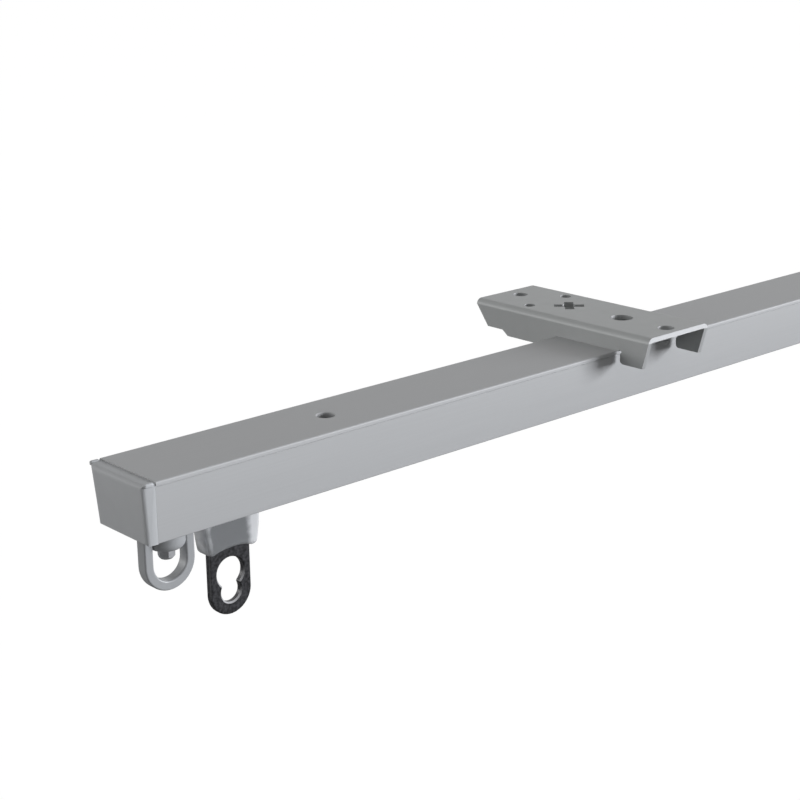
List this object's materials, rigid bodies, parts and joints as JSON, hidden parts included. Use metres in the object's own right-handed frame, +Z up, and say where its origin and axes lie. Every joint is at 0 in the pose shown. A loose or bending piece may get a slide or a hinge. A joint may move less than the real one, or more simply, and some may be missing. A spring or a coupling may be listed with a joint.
{
  "type": "curtain track",
  "caption": "Straight ceiling curtain track: box-section rail with end caps, wheeled gliders with keyhole eyes, clamped end stops with loops and folded ceiling brackets.",
  "frame": {"origin": "midway between the two brackets' ceiling screw holes, on the brackets' top face", "axes": "+X along the rail to its right end, +Y from the rail's front to its back, +Z up to the ceiling"},
  "size_m": [0.607, 0.0718, 0.0527],
  "materials": {
    "rail": "satin anodised",
    "cap": "satin moulded",
    "stop": "cast, satin grey coat",
    "screw": "zinc plated",
    "bracket": "satin silver coat",
    "plate": "black oxide",
    "saddle": "translucent nylon",
    "wheel": "smooth nylon",
    "axle": "turned"
  },
  "bodies": {
    "track": {"rail": "rail", "left_end_cap": "cap", "right_end_cap": "cap", "left_end_stop": "stop", "right_end_stop": "stop", "left_stop_screw": "screw", "right_stop_screw": "screw", "left_bracket": "bracket", "right_bracket": "bracket"},
    "glider_1": {"glider_1_plate": "plate", "glider_1_saddle": "saddle", "glider_1_axle": "axle"},
    "glider_1_front_wheel": {"glider_1_front_wheel": "wheel"},
    "glider_1_back_wheel": {"glider_1_back_wheel": "wheel"},
    "glider_2": {"glider_2_plate": "plate", "glider_2_saddle": "saddle", "glider_2_axle": "axle"},
    "glider_2_front_wheel": {"glider_2_front_wheel": "wheel"},
    "glider_2_back_wheel": {"glider_2_back_wheel": "wheel"},
    "glider_3": {"glider_3_plate": "plate", "glider_3_saddle": "saddle", "glider_3_axle": "axle"},
    "glider_3_front_wheel": {"glider_3_front_wheel": "wheel"},
    "glider_3_back_wheel": {"glider_3_back_wheel": "wheel"},
    "glider_4": {"glider_4_plate": "plate", "glider_4_saddle": "saddle", "glider_4_axle": "axle"},
    "glider_4_front_wheel": {"glider_4_front_wheel": "wheel"},
    "glider_4_back_wheel": {"glider_4_back_wheel": "wheel"},
    "glider_5": {"glider_5_plate": "plate", "glider_5_saddle": "saddle", "glider_5_axle": "axle"},
    "glider_5_front_wheel": {"glider_5_front_wheel": "wheel"},
    "glider_5_back_wheel": {"glider_5_back_wheel": "wheel"}
  },
  "joints": [
    {"name": "glider_1_slide", "type": "slide", "parent": "track", "child": "glider_1", "axis": [1, 0, 0], "range_m": [-0.0022, 0.12725]},
    {"name": "glider_1_front_wheel_spin", "type": "hinge", "parent": "glider_1", "child": "glider_1_front_wheel", "pos_m": [-0.2712, -0.0046, -0.01515], "axis": [0, 1, 0], "continuous": true},
    {"name": "glider_1_back_wheel_spin", "type": "hinge", "parent": "glider_1", "child": "glider_1_back_wheel", "pos_m": [-0.2712, 0.0086, -0.01515], "axis": [0, 1, 0], "continuous": true},
    {"name": "glider_2_slide", "type": "slide", "parent": "track", "child": "glider_2", "axis": [1, 0, 0], "range_m": [-0.12725, 0.03605]},
    {"name": "glider_2_front_wheel_spin", "type": "hinge", "parent": "glider_2", "child": "glider_2_front_wheel", "pos_m": [0.0012, -0.0046, -0.01515], "axis": [0, 1, 0], "continuous": true},
    {"name": "glider_2_back_wheel_spin", "type": "hinge", "parent": "glider_2", "child": "glider_2_back_wheel", "pos_m": [0.0012, 0.0086, -0.01515], "axis": [0, 1, 0], "continuous": true},
    {"name": "glider_3_slide", "type": "slide", "parent": "track", "child": "glider_3", "axis": [1, 0, 0], "range_m": [-0.03605, 0.03605]},
    {"name": "glider_3_front_wheel_spin", "type": "hinge", "parent": "glider_3", "child": "glider_3_front_wheel", "pos_m": [0.0912, -0.0046, -0.01515], "axis": [0, 1, 0], "continuous": true},
    {"name": "glider_3_back_wheel_spin", "type": "hinge", "parent": "glider_3", "child": "glider_3_back_wheel", "pos_m": [0.0912, 0.0086, -0.01515], "axis": [0, 1, 0], "continuous": true},
    {"name": "glider_4_slide", "type": "slide", "parent": "track", "child": "glider_4", "axis": [1, 0, 0], "range_m": [-0.03605, 0.03605]},
    {"name": "glider_4_front_wheel_spin", "type": "hinge", "parent": "glider_4", "child": "glider_4_front_wheel", "pos_m": [0.1812, -0.0046, -0.01515], "axis": [0, 1, 0], "continuous": true},
    {"name": "glider_4_back_wheel_spin", "type": "hinge", "parent": "glider_4", "child": "glider_4_back_wheel", "pos_m": [0.1812, 0.0086, -0.01515], "axis": [0, 1, 0], "continuous": true},
    {"name": "glider_5_slide", "type": "slide", "parent": "track", "child": "glider_5", "axis": [1, 0, 0], "range_m": [-0.03605, 0.0022]},
    {"name": "glider_5_front_wheel_spin", "type": "hinge", "parent": "glider_5", "child": "glider_5_front_wheel", "pos_m": [0.2712, -0.0046, -0.01515], "axis": [0, 1, 0], "continuous": true},
    {"name": "glider_5_back_wheel_spin", "type": "hinge", "parent": "glider_5", "child": "glider_5_back_wheel", "pos_m": [0.2712, 0.0086, -0.01515], "axis": [0, 1, 0], "continuous": true}
  ],
  "couplings": [
    {"joint": "glider_1_front_wheel_spin", "follows": "glider_1_slide", "rad_per_m": 181.82},
    {"joint": "glider_1_back_wheel_spin", "follows": "glider_1_slide", "rad_per_m": 181.82},
    {"joint": "glider_2_front_wheel_spin", "follows": "glider_2_slide", "rad_per_m": 181.82},
    {"joint": "glider_2_back_wheel_spin", "follows": "glider_2_slide", "rad_per_m": 181.82},
    {"joint": "glider_3_front_wheel_spin", "follows": "glider_3_slide", "rad_per_m": 181.82},
    {"joint": "glider_3_back_wheel_spin", "follows": "glider_3_slide", "rad_per_m": 181.82},
    {"joint": "glider_4_front_wheel_spin", "follows": "glider_4_slide", "rad_per_m": 181.82},
    {"joint": "glider_4_back_wheel_spin", "follows": "glider_4_slide", "rad_per_m": 181.82},
    {"joint": "glider_5_front_wheel_spin", "follows": "glider_5_slide", "rad_per_m": 181.82},
    {"joint": "glider_5_back_wheel_spin", "follows": "glider_5_slide", "rad_per_m": 181.82}
  ]
}
